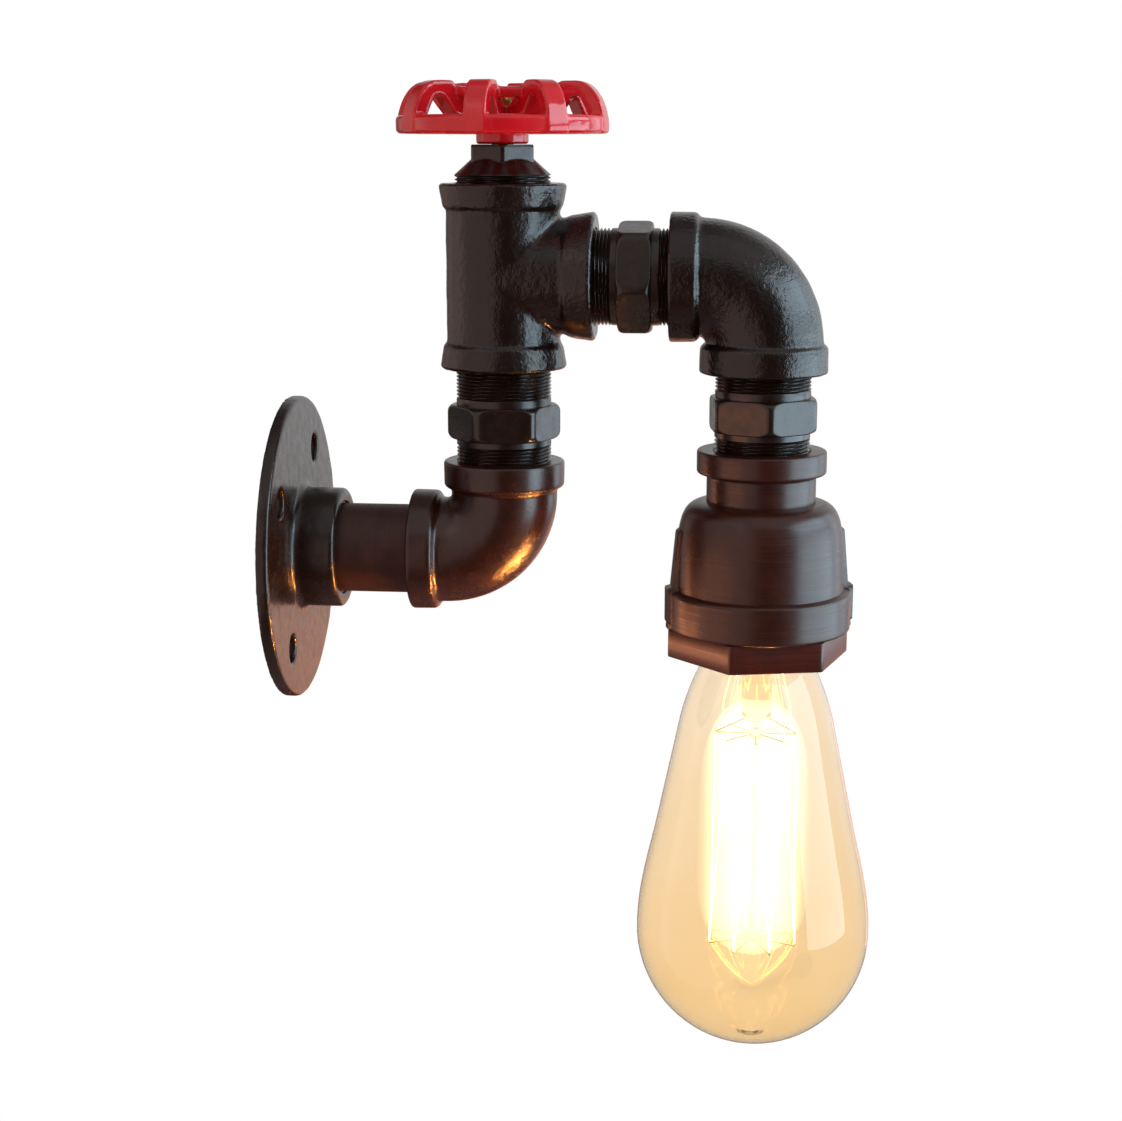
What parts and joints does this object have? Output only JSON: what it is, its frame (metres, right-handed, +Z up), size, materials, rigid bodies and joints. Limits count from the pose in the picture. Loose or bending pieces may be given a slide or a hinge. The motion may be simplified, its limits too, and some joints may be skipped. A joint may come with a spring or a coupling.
{
  "type": "pipe wall light",
  "caption": "Wall light built from black pipe fittings: round flange, elbows, tee with a red tap wheel, and a bell holding a hanging amber filament bulb.",
  "frame": {"origin": "centre of the flange's back face, on the wall", "axes": "+X out of the wall along the arm, +Z up, +Y sideways"},
  "size_m": [0.1672, 0.086, 0.2737],
  "materials": {
    "flange_paint": "semi-gloss black paint on a rough casting",
    "pipe_paint": "satin black paint",
    "elbow_paint": "smooth semi-gloss black paint",
    "cast_paint": "semi-gloss black paint on a rough casting",
    "thread_paint": "semi-gloss black paint over threads",
    "bell_paint": "satin black paint over turned metal",
    "wheel_red": "glossy red enamel",
    "brass": "bright brass",
    "plated_steel": "zinc plated",
    "porcelain": "glazed porcelain",
    "socket_brass": "pressed brass",
    "nylon": "natural nylon",
    "dimmer_black": "moulded black",
    "cable_black": "smooth sheath",
    "lead_red": "insulated lead",
    "cap_metal": "bare metal",
    "cap_black": "black glass",
    "amber_glass": "clear amber glass",
    "stem_glass": "clear glass",
    "hook_wire": "drawn wire",
    "filament": "glowing wire"
  },
  "bodies": {
    "wall_base": {"wall_flange": "flange_paint", "wall_pipe": "pipe_paint", "lower_elbow": "elbow_paint", "lower_hex_nipple": "thread_paint", "connector_block": "nylon", "connector_screws": "brass", "wall_cable": "cable_black"},
    "swing_arm": {"tee": "cast_paint", "bonnet": "thread_paint", "dimmer": "dimmer_black", "dimmer_nut": "plated_steel", "dimmer_leads": "lead_red", "arm_hex_nipple": "thread_paint", "arm_cable": "cable_black"},
    "wheel": {"handwheel": "wheel_red", "spindle": "brass", "wheel_washer": "plated_steel", "wheel_nut": "brass"},
    "lamp_head": {"upper_elbow": "cast_paint", "drop_hex_nipple": "thread_paint", "bell": "bell_paint", "hex_bush": "bell_paint", "carrier_washer": "plated_steel", "hollow_stud": "brass", "stud_nut": "brass", "holder_strap": "plated_steel", "holder_body": "porcelain", "screw_shell": "socket_brass", "centre_contact": "socket_brass", "strap_screws": "plated_steel", "holder_terminals": "socket_brass", "head_cable": "cable_black"},
    "bulb_screw": {"bulb_cap": "cap_metal", "cap_insulator": "cap_black", "cap_contact": "cap_metal"},
    "bulb": {"bulb_glass": "amber_glass", "bulb_stem": "stem_glass", "bulb_hooks": "hook_wire", "bulb_leads": "hook_wire", "filament": "filament"}
  },
  "joints": [
    {"name": "arm_swing", "type": "hinge", "parent": "wall_base", "child": "swing_arm", "pos_m": [0.0615, 0, 0.052], "axis": [0, 0, 1], "range_deg": [-90, 90]},
    {"name": "wheel_turn", "type": "hinge", "parent": "swing_arm", "child": "wheel", "pos_m": [0.0615, 0, 0.113], "axis": [0, 0, 1], "range_deg": [-280, 0]},
    {"name": "head_tilt", "type": "hinge", "parent": "swing_arm", "child": "lamp_head", "pos_m": [0.1076, 0, 0.0773], "axis": [-1, 0, 0], "range_deg": [-90, 90]},
    {"name": "bulb_travel", "type": "slide", "parent": "lamp_head", "child": "bulb_screw", "axis": [0, 0, -1], "range_m": [0, 0.01452]},
    {"name": "bulb_turn", "type": "hinge", "parent": "bulb_screw", "child": "bulb", "pos_m": [0.1336, 0, -0.0257], "axis": [0, 0, -1], "range_deg": [0, 1440]}
  ],
  "couplings": [
    {"joint": "bulb_turn", "follows": "bulb_travel", "rad_per_m": 1730.9}
  ]
}
